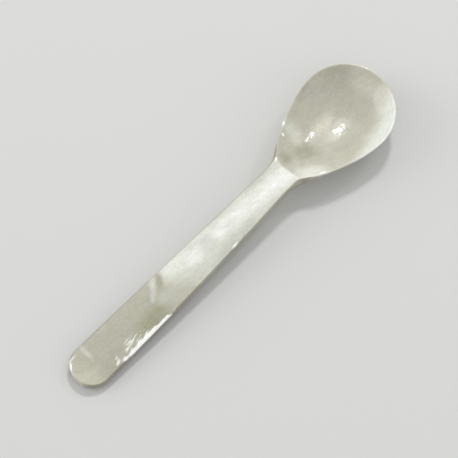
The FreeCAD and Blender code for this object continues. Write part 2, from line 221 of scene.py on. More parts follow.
@dataclass
class Underside:
    """Surface ground round underneath, turned about a level line above the rim."""

    outline: Outline
    rim_edge: float = 0.4 * MM
    foot_depth: float = 0.15 * MM
    keel_reach: float = 3.9 * MM
    arch_from_neck: float = 6.9 * MM
    arch_radius: float = 9.0 * MM
    neck_underside: float = 2.4 * MM

    @property
    def axis_z(self) -> float:
        """Height of the line that the grinding turns about.

        Formula in words: the round through the rim's lower edge and the keel, which reaches the
        foot's depth below the table, has its centre at equal distances from both.

        Returns:
            Height above the table.
        """
        edge_z = RIM_HEIGHT - self.rim_edge
        span = self.outline.bowl_width**2 / 4 + edge_z**2 - self.foot_depth**2
        return span / (2 * (self.foot_depth + edge_z))

    def profile(self, x: Array) -> Array:
        """Height of the underside's lowest line.

        Formula in words: a straight slope from the table at the handle's end, a hollow arc behind
        the neck, a steeper slope down to the keel, the keel's arc and the round tip, each running
        smoothly into the next.

        Args:
            x: places along the spoon.

        Returns:
            Heights of the middle line there.
        """
        outline = self.outline
        rise = self.neck_underside / (outline.neck_x - outline.end_x)
        bend_x = outline.neck_x + self.arch_from_neck
        bend_z = rise * (bend_x - outline.end_x)
        corner_x = outline.bowl_x - self.keel_reach
        fall = (bend_z + self.foot_depth) / (corner_x - bend_x)
        handle_turn, slope_turn = math.atan(rise), math.atan(fall)
        reach = self.arch_radius * math.tan((handle_turn + slope_turn) / 2)
        arch_start = bend_x - reach * math.cos(handle_turn)
        arch_stop = bend_x + reach * math.cos(slope_turn)
        arch_x = arch_start + self.arch_radius * math.sin(handle_turn)
        arch_foot = rise * (arch_start - outline.end_x)
        arch_z = arch_foot - self.arch_radius * math.cos(handle_turn)
        keel_radius = self.keel_reach / math.tan(slope_turn / 2)
        keel_start = outline.bowl_x - keel_radius * math.sin(slope_turn)
        keel_z = keel_radius - self.foot_depth
        tip_radius = self.axis_z + self.foot_depth

        def root(radius: float, centre_x: float) -> Array:
            """Height of a round above its centre."""
            return np.sqrt(np.maximum(radius**2 - (x - centre_x) ** 2, 0.0))

        handle = rise * (x - outline.end_x)
        arched = arch_z + root(self.arch_radius, arch_x)
        sloped = fall * (corner_x - x) - self.foot_depth
        keeled = keel_z - root(keel_radius, outline.bowl_x)
        tipped = self.axis_z - root(tip_radius, outline.bowl_x)
        places = [x < arch_start, x < arch_stop, x < keel_start, x < outline.bowl_x]
        return np.select(places, [handle, arched, sloped, keeled], tipped)

    def height(self, x: Array, y: Array) -> Array:
        """Height: as far from the axis as the lowest line is, but not below the table."""
        reach = self.axis_z - self.profile(x)
        return np.maximum(self.axis_z - np.sqrt(np.maximum(reach**2 - y**2, 0.0)), 0.0)


@dataclass
class Hollow:
    """Bowl's hollow, egg-shaped, turned about a level line above the rim."""

    outline: Outline
    lip_width: float = 0.3 * MM
    depth: float = 4.4 * MM
    from_neck: float = 2.95 * MM
    end_depth: float = 0.5 * MM
    end_radius: float = 3.0 * MM
    floor_reach: float = 3.5 * MM

    @property
    def edge_x(self) -> float:
        """Place of the hollow's edge at the neck."""
        return self.outline.neck_x + self.from_neck

    def height(self, x: Array, y: Array) -> Array:
        """Height of the hollow's surface.

        Formula in words: in the middle a tight arc drops from the neck into a straight slope, which
        a floor arc takes down to the bottom, and a round rises to the tip. Across, every point lies
        as far from the wheel's axis as the middle line does at that place.

        Args:
            x: places along the spoon.
            y: places across it.

        Returns:
            Heights, and a height far above the spoon outside the hollow.
        """
        half_mouth = self.outline.bowl_width / 2 - self.lip_width
        axis_rise = (half_mouth**2 - self.depth**2) / (2 * self.depth)
        axis_z = RIM_HEIGHT + axis_rise
        floor_z = RIM_HEIGHT - self.depth
        corner_x = self.outline.bowl_x - self.floor_reach
        fall = (self.depth - self.end_depth) / (corner_x - self.edge_x)
        turn = math.atan(fall)
        floor_radius = self.floor_reach / math.tan(turn / 2)
        slope_stop = self.outline.bowl_x - floor_radius * math.sin(turn)
        above = self.end_depth * math.cos(turn)
        beyond = math.sqrt(self.end_radius**2 - (self.end_radius - above) ** 2)
        slope_start = self.edge_x + (beyond - self.end_depth * math.sin(turn)) * math.cos(turn)
        end_x = slope_start + self.end_radius * math.sin(turn)
        end_z = floor_z + fall * (corner_x - slope_start) + self.end_radius * math.cos(turn)

        offset = x - self.outline.bowl_x
        ended = end_z - np.sqrt(np.maximum(self.end_radius**2 - (x - end_x) ** 2, 0.0))
        sloped = floor_z + fall * (corner_x - x)
        floor = floor_z + floor_radius - np.sqrt(np.maximum(floor_radius**2 - offset**2, 0.0))
        tip = axis_z - np.sqrt(np.maximum((axis_rise + self.depth) ** 2 - offset**2, 0.0))
        places = [x < slope_start, x < slope_stop, offset < 0.0]
        radius = axis_z - np.select(places, [ended, sloped, floor], tip)
        square = radius**2 - y**2
        cut = (x > end_x - self.end_radius) & (radius > 0.0) & (square > 0.0)
        return np.where(cut, axis_z - np.sqrt(np.maximum(square, 0.0)), FAR)


@dataclass
class Crown:
    """Handle's top, crowned across and rising in a straight line to the neck."""

    outline: Outline
    crest_x: float
    crest_z: float = 5.6 * MM
    end_thickness: float = 2.0 * MM
    radius: float = 20.0 * MM

    def height(self, x: Array, y: Array) -> Array:
        """Height of the crown.

        Formula in words: a sloping line, less the sag of a round section across it.

        Args:
            x: places along the spoon.
            y: places across it.

        Returns:
            Heights, in the same shape.
        """
        slope = (self.crest_z - self.end_thickness) / (self.crest_x - self.outline.end_x)
        tilt = math.cos(math.atan(slope))
        radius = self.radius * tilt
        sag = (radius - np.sqrt(np.maximum(radius**2 - y**2, 0.0))) / tilt
        return self.end_thickness + slope * (x - self.outline.end_x) - sag


@dataclass
class Bevel:
    """Flat filed with a round file on each shoulder of the neck, falling outwards."""

    outline: Outline
    radius: float = 5.5 * MM
    slope: float = math.radians(52.0)
    half_gap: float = 2.8 * MM
    from_neck: float = 1.8 * MM

    def height(self, x: Array, y: Array) -> Array:
        """Height of the filed surface.

        Formula in words: a slope that falls outwards on both sides, and rises along the spoon as
        the file's round does.

        Args:
            x: places along the spoon.
            y: places across it.

        Returns:
            Heights, and a height far above the spoon beyond the file's reach.
        """
        offset = x - (self.outline.neck_x + self.from_neck)
        sag = self.radius - np.sqrt(np.maximum(self.radius**2 - offset**2, 0.0))
        rise = sag / math.cos(self.slope)
        fall = math.tan(self.slope) * (np.abs(y) - self.half_gap)
        return np.where(np.abs(offset) < self.radius, RIM_HEIGHT + rise - fall, FAR)


@dataclass
class HandWork:
    """Slight unevenness that sawing, filing and polishing by hand leave on the spoon."""

    bend: float = 0.55 * MM
    lean: float = 0.155 * MM
    neck_offset: float = -0.393 * MM
    half_length: float = 40.0 * MM
    depth: float = 0.012 * MM
    wavelength: float = 7.0 * MM
    shortest: float = 0.5
    longest: float = 1.6
    waves: int = 9
    seed: int = 11

    def sway(self, x: Array) -> Array:
        """Sideways shift: the neck's offset, and a square and a cube of the place along."""
        share = x / self.half_length
        return self.neck_offset + self.bend * share**2 + self.lean * share**3

    def unevenness(self, x: Array, y: Array) -> Array:
        """Heights of a gentle waviness.

        Formula in words: the sum of several cosine waves over the root of their number. They run
        in different directions, with wavelengths spread about the given one.

        Args:
            x: places along the spoon.
            y: places across it.

        Returns:
            Heights about zero, in the same shape.
        """
        chance = np.random.default_rng(self.seed)
        directions = chance.uniform(0.0, math.pi, self.waves)
        lengths = self.wavelength * chance.uniform(self.shortest, self.longest, self.waves)
        phases = chance.uniform(0.0, 2 * math.pi, self.waves)
        swell = np.zeros_like(x)
        for direction, length, phase in zip(directions, lengths, phases):
            place = x * math.cos(direction) + y * math.sin(direction)
            swell += np.cos(2 * math.pi * place / length + phase)
        return self.depth * swell / math.sqrt(self.waves)


@dataclass(frozen=True)
class Rays:
    """Lines from the middle line out to the outline, one for each point of a ring."""

    foot: Array
    edge: Array

    @property
    def reach(self) -> Array:
        """Lengths of the lines."""
        return np.hypot(*(self.edge - self.foot).T)

    def spots(self, inward: Array | float) -> Array:
        """Points at distances in from the outline."""
        direction = (self.edge - self.foot) / self.reach[:, None]
        return self.foot + direction * (self.reach - inward)[:, None]


@dataclass
class SpoonSkin:
    """Whole surface of the spoon as one closed mesh of rings about its middle line."""

    outline: Outline = field(default_factory=Outline)
    hand: HandWork = field(default_factory=HandWork)
    crest_margin: float = 1.3 * MM
    ridge_softness: float = 0.16 * MM
    edge_radius: float = 0.25 * MM
    edge_share: float = 0.42
    edge_clearance: float = 0.0001 * MM
    band_width: float = 1.0 * MM
    band_share: float = 0.45
    band_crowding: float = 1.5
    inner_rings: int = 46
    band_rings: int = 20
    wall_rings: int = 4
    lower_band_rings: int = 8
    lower_rings: int = 18
    coarse_spacing: float = 0.42 * MM
    fine_spacing: float = 0.13 * MM
    bowl_spacing: float = 0.17 * MM
    end_blend: tuple[float, float] = (3.0 * MM, 9.0 * MM)
    neck_blend: tuple[float, float] = (-1.0 * MM, 9.0 * MM)
    bowl_blend: tuple[float, float] = (19.0 * MM, 25.0 * MM)
    spine_from_end: float = 1.0 * MM
    spine_from_tip: float = 2.0 * MM
    spine_mix: float = 0.85
    least_tangent: float = 1e-4

    def __post_init__(self) -> None:
        """Make the surfaces that bound the spoon."""
        self.underside = Underside(self.outline)
        self.hollow = Hollow(self.outline)
        self.crown = Crown(self.outline, self.hollow.edge_x)
        self.bevel = Bevel(self.outline)

    def top_height(self, x: Array, y: Array) -> Array:
        """Height of the top.

        Formula in words: the lowest of crown or rim, filed bevels and hollow, softly joined, with
        the hand's unevenness kept within the solid.

        Args:
            x: places along the spoon.
            y: places across it.

        Returns:
            Heights, in the same shape.
        """
        crown_end = self.crown.crest_x + self.crest_margin
        plate = np.where(x < crown_end, self.crown.height(x, y), RIM_HEIGHT)
        cut = soft_least(plate, self.bevel.height(x, y), self.ridge_softness)
        cut = soft_least(cut, self.hollow.height(x, y), self.ridge_softness)
        return cut - self.hand.depth + self.hand.unevenness(x, y)

    def stations(self) -> tuple[Array, Array]:
        """Points of the left outline and the matching points on the middle line.

        Formula in words: stations lie closer where the shape is busy. Each is joined to the middle
        line nearly along the outline's inward normal, with a share of plain spreading mixed in so
        that no two meet.

        Returns:
            Outline points and middle-line places, from the handle's end to the bowl's tip.
        """
        fine = self.outline.left_half()
        steps = np.hypot(*np.diff(fine, axis=0).T)
        run = np.concatenate([[0.0], np.cumsum(steps)])
        x = fine[:, 0]
        from_end = x - self.outline.end_x
        busy = np.maximum(ease(x, *self.neck_blend), 1.0 - ease(from_end, *self.end_blend))
        spacing = self.coarse_spacing + (self.fine_spacing - self.coarse_spacing) * busy
        spacing += (self.bowl_spacing - spacing) * ease(x, *self.bowl_blend)
        between = 0.5 * (spacing[1:] + spacing[:-1])
        density = np.concatenate([[0.0], np.cumsum(steps / between)])
        count = int(round(density[-1]))
        wanted = np.interp(np.linspace(0.0, density[-1], count + 1), density, run)
        points = np.stack([np.interp(wanted, run, fine[:, axis]) for axis in (0, 1)], axis=1)

        tangent = np.gradient(fine, run, axis=0)
        foot = x + fine[:, 1] * tangent[:, 1] / np.maximum(tangent[:, 0], self.least_tangent)
        inner_end = self.outline.end_x + self.outline.end_radius
        foot = np.maximum.accumulate(np.clip(foot, inner_end, self.outline.bowl_x))
        margins = self.spine_from_end + self.spine_from_tip
        start = self.outline.end_x + self.spine_from_end
        spread = start + from_end * (1.0 - margins / self.outline.length)
        middle = self.spine_mix * foot + (1.0 - self.spine_mix) * spread
        return points, np.interp(wanted, run, middle)

    def rings(self, rays: Rays) -> list[Array]:
        """Rings from the middle of the top out to the edge, down the wall and in underneath.

        Formula in words: a ring is the outline drawn in towards the middle line by a share or a
        distance. Near the edge the rings crowd together, and there the top drops and the underside
        rises by the sag of a quarter circle.

        Args:
            rays: lines from the middle line to the outline.

        Returns:
            Point arrays, one for each ring.
        """
        reach = rays.reach
        band = np.minimum(self.band_width, self.band_share * reach)
        shares = np.linspace(0.0, 1.0, self.inner_rings + 1)[1:]
        parts = np.linspace(0.0, 1.0, self.band_rings + 1)[1:]
        low_parts = np.linspace(0.0, 1.0, self.lower_band_rings + 1)[:-1]
        low_shares = np.linspace(1.0, 0.0, self.lower_rings + 1)[:-1]
        top_in = [reach - (reach - band) * share for share in shares]
        top_in += [band * (1.0 - part) ** self.band_crowding for part in parts]
        low_in = [band * part**self.band_crowding for part in low_parts]
        low_in += [reach - (reach - band) * share for share in low_shares]

        edge_spots = rays.spots(self.edge_clearance)
        wall_low = self.underside.height(*edge_spots.T)
        wall = self.top_height(*edge_spots.T) - wall_low
        radius = np.minimum(self.edge_radius, self.edge_share * wall)

        def sag(inward: Array) -> Array:
            """Drop of a quarter circle at a distance from the edge."""
            left = np.clip(radius - inward, 0.0, radius)
            return radius - np.sqrt(np.maximum(radius**2 - left**2, 0.0))

        rings = []
        for inward in top_in:
            spots = rays.spots(inward)
            rings.append(np.column_stack([spots, self.top_height(*spots.T) - sag(inward)]))
        high, low = rings[-1][:, 2], wall_low + radius
        for part in np.linspace(0.0, 1.0, self.wall_rings + 1)[1:-1]:
            rings.append(np.column_stack([rays.edge, high + (low - high) * part]))
        for inward in low_in:
            spots = rays.spots(inward)
            rings.append(np.column_stack([spots, self.underside.height(*spots.T) + sag(inward)]))
        return rings

    @staticmethod
    def faces(line_count: int, ring_count: int) -> Array:
        """Quads between neighbouring rings, and from the end rings to the middle lines.

        Formula in words: each point of a ring and the next one round are joined with their
        neighbours one ring further on. Both halves of an end ring meet the same middle line.

        Args:
            line_count: number of points of a middle line.
            ring_count: number of rings.

        Returns:
            Point numbers of the quads, with the middle line of the top first and that of the
            underside last.
        """
        size = 2 * (line_count - 1)
        index = np.arange(size)
        pair = np.stack([index, (index + 1) % size])
        line_pair = np.minimum(pair, size - pair)
        rows = [line_pair, *[line_count + ring * size + pair for ring in range(ring_count)]]
        rows.append(line_count + ring_count * size + line_pair)
        steps = zip(rows, rows[1:])
        return np.concatenate([np.stack([*inner, *outer[::-1]], axis=1) for inner, outer in steps])

    def build(self, name: str) -> bpy.types.Object:
        """Build the closed mesh.

        Args:
            name: name of the new object.

        Returns:
            The mesh object, at the origin.
        """
        half, middle = self.stations()
        mirrored = half[-2:0:-1] * np.array([1.0, -1.0])
        spine = np.concatenate([middle, middle[-2:0:-1]])
        foot = np.stack([spine, np.zeros_like(spine)], axis=1)
        rings = self.rings(Rays(foot, np.concatenate([half, mirrored])))
        flat = np.zeros_like(middle)
        top_line = np.column_stack([middle, flat, self.top_height(middle, flat)])
        low_line = np.column_stack([middle, flat, self.underside.height(middle, flat)])
        vertices = np.concatenate([top_line, *rings, low_line])
        vertices[:, 1] += self.hand.sway(vertices[:, 0])
        faces = self.faces(len(middle), len(rings))
        LOG.info("%s: %d vertices, %d faces", name, len(vertices), len(faces))

        mesh = bpy.data.meshes.new(name)
        mesh.from_pydata(vertices.tolist(), [], faces.tolist())
        mesh.validate()
        mesh.polygons.foreach_set("use_smooth", np.ones(len(mesh.polygons), dtype=bool))
        mesh.update()
        spoon = bpy.data.objects.new(name, mesh)
        bpy.context.scene.collection.objects.link(spoon)
        return spoon


class Blend(Enum):
    """How a colour layer joins what lies under it."""

    MIX = "MIX"
    MULTIPLY = "MULTIPLY"


class Sum(Enum):
    """How two values are worked into one."""

    ADD = "ADD"
    SUBTRACT = "SUBTRACT"
    MULTIPLY = "MULTIPLY"
    MAXIMUM = "MAXIMUM"
    ABSOLUTE = "ABSOLUTE"
    SIGN = "SIGN"


@dataclass(frozen=True)
class Span:
    """Range of a value, and what it is smoothly turned into. Beyond its ends nothing changes."""

    low: float
    high: float
    start: float = 0.0
    stop: float = 1.0


@dataclass(frozen=True)
class Noise:
    """Cloudy pattern, with its cells per metre along, across and up after a turn in radians."""

    cells: Triple
    turn: float = 0.0
    detail: float = 2.0
    roughness: float = 0.5
    distortion: float = 0.0


@dataclass(frozen=True)
class Wander:
    """How far borders wander, and over which distance they do, in millimetres."""

    reach: float
    wavelength: float
    detail: float = 3.0


@dataclass(frozen=True)
class Oval:
    """Oval reach of the shell with a soft border, in millimetres and degrees."""

    centre: tuple[float, float]
    reach: tuple[float, float]
    turn: float
    amount: float
    core: float


@dataclass(frozen=True)
class Patch(Oval):
    """Oval reach of the shell that has its own colour."""

    colour: Colour


@dataclass(frozen=True)
class Tint:
    """Noise that darkens and brightens a colour by factors, laid on with a share."""

    pattern: Noise
    factors: Span
    share: float


class Wiring:
    """Short way to lay out and join the nodes of one material."""

    # sockets of a mixing node that joins colours
    MIX_SHARE, MIX_UNDER, MIX_OVER, MIX_RESULT = 0, 6, 7, 2
    # half height of an oval reach in millimetres, so great that height doesn't matter
    ENDLESS = 1000.0

    def __init__(self, name: str) -> None:
        """Start an empty material with an output and a main shader.

        Args:
            name: name of the material.
        """
        self.material = bpy.data.materials.new(name)
        self.material.use_nodes = True
        self.tree = self.material.node_tree
        self.tree.nodes.clear()
        self.output = self.add("ShaderNodeOutputMaterial")
        self.shader = self.add("ShaderNodeBsdfPrincipled")
        self.feed(self.output.inputs["Surface"], self.shader.outputs["BSDF"])

    def add(self, kind: str, **values: object) -> bpy.types.Node:
        """Add a node and set its own properties.

        Args:
            kind: Blender's name of the kind of node.
            **values: properties of the node and what they are set to.

        Returns:
            The new node.
        """
        node = self.tree.nodes.new(kind)
        for key, value in values.items():
            setattr(node, key, value)
        return node

    def feed(self, target: Socket, value: Socket | Colour | float) -> None:
        """Link an output to an input, or set a plain value on it.

        Args:
            target: the input.
            value: an output, or a number, place or colour.
        """
        if isinstance(value, Socket):
            self.tree.links.new(value, target)
        else:
            target.default_value = (*value, OPAQUE) if target.type == "RGBA" else value

    def finish(self, **values: Socket | Colour | float) -> None:
        """Feed inputs of the main shader, which are named with underscores for spaces."""
        for key, value in values.items():
            self.feed(self.shader.inputs[key.replace("_", " ")], value)

    def place(self, cells: Triple, turn: float = 0.0) -> Socket:
        """Object coordinates, turned about Z and stretched.

        Args:
            cells: factors along the three axes, after the turn.
            turn: angle about Z in radians.

        Returns:
            Vector socket.
        """
        source = self.add("ShaderNodeTexCoord").outputs["Object"]
        turned = self.add("ShaderNodeMapping", vector_type="POINT")
        stretched = self.add("ShaderNodeMapping", vector_type="POINT")
        self.feed(turned.inputs["Rotation"], (0.0, 0.0, turn))
        self.feed(turned.inputs["Vector"], source)
        self.feed(stretched.inputs["Scale"], cells)
        self.feed(stretched.inputs["Vector"], turned.outputs["Vector"])
        return stretched.outputs["Vector"]

    def true_place(self) -> Socket:
        """Object coordinates in millimetres."""
        return self.place((PER_MM, PER_MM, PER_MM))

    def split(self, vector: Socket) -> tuple[Socket, Socket, Socket]:
        """Three parts of a vector.

        Args:
            vector: vector socket.

        Returns:
            Value sockets along X, Y and Z.
        """
        node = self.add("ShaderNodeSeparateXYZ")
        self.feed(node.inputs["Vector"], vector)
        return node.outputs["X"], node.outputs["Y"], node.outputs["Z"]

    def facing(self) -> tuple[Socket, Socket, Socket]:
        """Three parts of the direction that the surface faces."""
        return self.split(self.add("ShaderNodeNewGeometry").outputs["Normal"])

    def noise(self, pattern: Noise) -> Socket:
        """Lay out a cloudy pattern.

        Args:
            pattern: its fineness and character.

        Returns:
            Value socket, mostly between 0.3 and 0.7.
        """
        node = self.add("ShaderNodeTexNoise")
        self.feed(node.inputs["Scale"], 1.0)
        self.feed(node.inputs["Detail"], pattern.detail)
        self.feed(node.inputs["Roughness"], pattern.roughness)
        self.feed(node.inputs["Distortion"], pattern.distortion)
        self.feed(node.inputs["Vector"], self.place(pattern.cells, pattern.turn))
        return node.outputs["Fac"]

    def ramp(self, value: Socket, span: Span) -> Socket:
        """Smoothly turn a value into another.

        Args:
            value: value socket.
            span: range of the value, and what its ends become.

        Returns:
            Value socket.
        """
        node = self.add("ShaderNodeMapRange", interpolation_type="SMOOTHSTEP")
        self.feed(node.inputs["From Min"], span.low)
        self.feed(node.inputs["From Max"], span.high)
        self.feed(node.inputs["To Min"], span.start)
        self.feed(node.inputs["To Max"], span.stop)
        self.feed(node.inputs["Value"], value)
        return node.outputs["Result"]

    def work_out(self, kind: Sum, first: Socket, second: Socket | float = 0.0) -> Socket:
        """Work two values into one.

        Args:
            kind: how they are joined.
            first: value socket.
            second: another value socket or a number, which some kinds leave unused.

        Returns:
            Value socket.
        """
        node = self.add("ShaderNodeMath", operation=kind.value)
        self.feed(node.inputs[0], first)
        self.feed(node.inputs[1], second)
        return node.outputs["Value"]

    def layer(self, under: Socket | Colour, over: Socket | Colour, amount: Socket | float,
              blend: Blend = Blend.MIX) -> Socket:
        """Lay one colour over another.

        Args:
            under: colour or socket below.
            over: colour or socket above.
            amount: share of the upper colour, a number or a socket.
            blend: how the two join.

        Returns:
            Colour socket.
        """
        node = self.add("ShaderNodeMix", data_type="RGBA", blend_type=blend.value)
        self.feed(node.inputs[self.MIX_SHARE], amount)
        self.feed(node.inputs[self.MIX_UNDER], under)
        self.feed(node.inputs[self.MIX_OVER], over)
        return node.outputs[self.MIX_RESULT]

    def wandering(self, wander: Wander) -> Socket:
        """Places in millimetres that wander about the true ones, for borders as a shell grows them.

        Formula in words: noise about one half, less that half, times twice the reach, is added to
        the true place along and across.

        Args:
            wander: how far the places wander.

        Returns:
            Vector socket.
        """
        true = self.true_place()
        node = self.add("ShaderNodeTexNoise")
        self.feed(node.inputs["Scale"], 1.0 / wander.wavelength)
        self.feed(node.inputs["Detail"], wander.detail)
        self.feed(node.inputs["Vector"], true)
        level = self.add("ShaderNodeVectorMath", operation="SUBTRACT")
        self.feed(level.inputs[0], node.outputs["Color"])
        self.feed(level.inputs[1], (0.5, 0.5, 0.5))
        moved = self.add("ShaderNodeVectorMath", operation="MULTIPLY_ADD")
        self.feed(moved.inputs[0], level.outputs["Vector"])
        self.feed(moved.inputs[1], (2.0 * wander.reach, 2.0 * wander.reach, 0.0))
        self.feed(moved.inputs[2], true)
        return moved.outputs["Vector"]

    def inside(self, place: Socket, oval: Oval) -> Socket:
        """How far a place belongs to an oval reach, at any height.

        Formula in words: the amount in the core, falling smoothly to nothing at the border, by the
        distance from the centre in shares of the reach.

        Args:
            place: places in millimetres.
            oval: the reach.

        Returns:
            Value socket.
        """
        moved = self.add("ShaderNodeMapping", vector_type="TEXTURE")
        self.feed(moved.inputs["Location"], (*oval.centre, 0.0))
        self.feed(moved.inputs["Rotation"], (0.0, 0.0, math.radians(oval.turn)))
        self.feed(moved.inputs["Scale"], (*oval.reach, self.ENDLESS))
        self.feed(moved.inputs["Vector"], place)
        distance = self.add("ShaderNodeVectorMath", operation="LENGTH")
        self.feed(distance.inputs[0], moved.outputs["Vector"])
        return self.ramp(distance.outputs["Value"], Span(1.0, oval.core, 0.0, oval.amount))


@dataclass(frozen=True)
class MilkAndSheenBand:
    """Paler handle top and milky middle band: shell colour, partly a painted sheen of the light."""

    pale: Colour = (0.640, 0.650, 0.570)
    milk_and_sheen: Colour = (0.860, 0.870, 0.830)
    neck_end: Span = Span(14.9, 14.1)
    border: Span = Span(-18.5, -12.0)
    border_lean: float = 0.9
    band_lean: float = 0.11
    band_shift: float = -0.25
    band_width: Span = Span(2.6, 0.3)
    growing: Span = Span(-17.0, 7.0, 0.30, 1.0)
    cloudiness: Span = Span(0.30, 0.62, 0.45, 1.0)
    clouds: Noise = Noise((160.0, 330.0, 330.0), 0.06, 4.0, 0.55, 0.6)

    def over(self, wiring: Wiring, place: Socket, colour: Colour) -> Socket:
        """Lay the pale shell and the milky band, partly painted sheen, over a colour.

        Args:
            wiring: nodes to add to.
            place: wandering places in millimetres.
            colour: colour below.

        Returns:
            Colour socket.
        """
        x, y, _ = wiring.split(place)
        slant = wiring.work_out(Sum.ADD, x, wiring.work_out(Sum.MULTIPLY, y, self.border_lean))
        handle = wiring.ramp(x, self.neck_end)
        pale = wiring.work_out(Sum.MULTIPLY, handle, wiring.ramp(slant, self.border))
        drift = wiring.work_out(Sum.ADD, y, wiring.work_out(Sum.MULTIPLY, x, self.band_lean))
        aside = wiring.work_out(Sum.ABSOLUTE, wiring.work_out(Sum.ADD, drift, self.band_shift))
        milk_and_sheen = wiring.ramp(aside, self.band_width)
        milk_and_sheen = wiring.work_out(Sum.MULTIPLY, milk_and_sheen, wiring.ramp(x, self.growing))
        cloudy = wiring.ramp(wiring.noise(self.clouds), self.cloudiness)
        milk_and_sheen = wiring.work_out(Sum.MULTIPLY, milk_and_sheen, cloudy)
        milk_and_sheen = wiring.work_out(Sum.MULTIPLY, milk_and_sheen, pale)
        return wiring.layer(wiring.layer(colour, self.pale, pale), self.milk_and_sheen, milk_and_sheen)


@dataclass(frozen=True)
class PaintedRimLight:
    """Painted light along the bowl's right rim, where the inner wall faces the light and is thin.
    """

    colour: Colour = (0.800, 0.830, 0.780)
    share: float = 0.85
    lean: float = 0.27
    shift: float = -8.1
    across: Span = Span(4.6, 8.6)
    along: Span = Span(17.0, 23.0)

    def over(self, wiring: Wiring, place: Socket, colour: Socket) -> Socket:
        """Lay the painted light over a colour.

        Args:
            wiring: nodes to add to.
            place: wandering places in millimetres.
            colour: colour below.

        Returns:
            Colour socket.
        """
        x, y, _ = wiring.split(place)
        slant = wiring.work_out(Sum.ADD, wiring.work_out(Sum.MULTIPLY, x, self.lean), self.shift)
        outwards = wiring.ramp(wiring.work_out(Sum.SUBTRACT, slant, y), self.across)
        painted_rim_light = wiring.work_out(Sum.MULTIPLY, outwards, wiring.ramp(x, self.along))
        return wiring.layer(colour, self.colour, wiring.work_out(Sum.MULTIPLY, painted_rim_light, self.share))


@dataclass(frozen=True)
class SideShade:
    """Painted shade: cut sides and filed bevels of the handle and neck, darkened as they turn
    outwards.
    """

    colour: Colour = (0.600, 0.570, 0.510)
    turned: Span = Span(0.20, 0.50)
    bowl_end: Span = Span(19.5, 15.5)

    def over(self, wiring: Wiring, colour: Socket) -> Socket:
        """Darken a colour as the surface turns outwards, as painted shade on the sides.

        Args:
            wiring: nodes to add to.
            colour: colour below.

        Returns:
            Colour socket.
        """
        _, outward, _ = wiring.facing()
        x, y, _ = wiring.split(wiring.true_place())
        outwards = wiring.work_out(Sum.MULTIPLY, wiring.work_out(Sum.SIGN, y), outward)
        side = wiring.ramp(outwards, self.turned)
        side = wiring.work_out(Sum.MULTIPLY, side, wiring.ramp(x, self.bowl_end))
        return wiring.layer(colour, self.colour, side, Blend.MULTIPLY)


@dataclass(frozen=True)
class ScratchesAndPaintedGlints:
    """Painted glints on the handle's scratches: brushed strokes by its right edge, a broken line
    along it.
    """

    colour: Colour = (0.980, 0.980, 0.930)
    top: Oval = Oval((-27.9, -3.0), (5.0, 1.8), 5.0, 0.85, 0.30)
    edge: Oval = Oval((-25.2, -3.95), (11.2, 0.98), 0.0, 1.0, 0.10)
    strokes: Noise = Noise((650.0, 4200.0, 900.0), math.radians(-8.0))
    breaks: Noise = Noise((800.0, 2600.0, 800.0), math.radians(-6.0), 3.0)
    stroke_border: Span = Span(0.54, 0.63)
    edge_border: Span = Span(0.92, 1.10)

    def amount(self, wiring: Wiring, place: Socket, upper: Socket) -> Socket:
        """How far a place is scratched and painted with glints.

        Args:
            wiring: nodes to add to.
            place: closely wandering places in millimetres.
            upper: how far the surface faces up.

        Returns:
            Value socket.
        """
        stroked = wiring.ramp(wiring.noise(self.strokes), self.stroke_border)
        top = wiring.work_out(Sum.MULTIPLY, wiring.inside(place, self.top), stroked)
        broken = wiring.noise(self.breaks)
        edge = wiring.work_out(Sum.ADD, wiring.inside(place, self.edge), broken)
        scratch_and_glint = wiring.work_out(Sum.MAXIMUM, top, wiring.ramp(edge, self.edge_border))
        return wiring.work_out(Sum.MULTIPLY, scratch_and_glint, upper)


@dataclass(frozen=True)
class Relief:
    """Fine unevenness of the polish: ripples, dimples in the bowl, grain and scratched places."""

    ripples: Noise = Noise((650.0, 650.0, 650.0))
    ripple_share: float = 1.5
    dimples: Noise = Noise((1100.0, 1100.0, 1100.0), detail=1.0)
    dimpled: Oval = Oval((26.2, -0.4), (5.6, 3.8), 0.0, 1.0, 0.50)
    dimple_share: Span = Span(0.0, 1.0, 0.5, 2.7)
    mottle: Noise = Noise((2800.0, 2800.0, 2800.0))
    mottle_share: float = 0.22
    worn_share: float = 0.6
    depth: float = 0.02 * MM

    def facing(self, wiring: Wiring, place: Socket, scratch_and_glint: Socket) -> Socket:
        """Direction of the uneven surface.

        Formula in words: the patterns' heights, each times its share, add up to one height, which
        the depth scales.

        Args:
            wiring: nodes to add to.
            place: wandering places in millimetres.
            scratch_and_glint: how far a place is scratched and painted with glints.

        Returns:
            Vector socket.
        """
        dimpled = wiring.ramp(wiring.inside(place, self.dimpled), self.dimple_share)
        parts = (
            (wiring.noise(self.dimples), dimpled),
            (wiring.noise(self.mottle), self.mottle_share),
            (scratch_and_glint, self.worn_share),
        )
        height = wiring.work_out(Sum.MULTIPLY, wiring.noise(self.ripples), self.ripple_share)
        for pattern, share in parts:
            part = wiring.work_out(Sum.MULTIPLY, pattern, share)
            height = wiring.work_out(Sum.ADD, height, part)
        bump = wiring.add("ShaderNodeBump")
        wiring.feed(bump.inputs["Strength"], 1.0)
        wiring.feed(bump.inputs["Distance"], self.depth)
        wiring.feed(bump.inputs["Height"], height)
        return bump.outputs["Normal"]


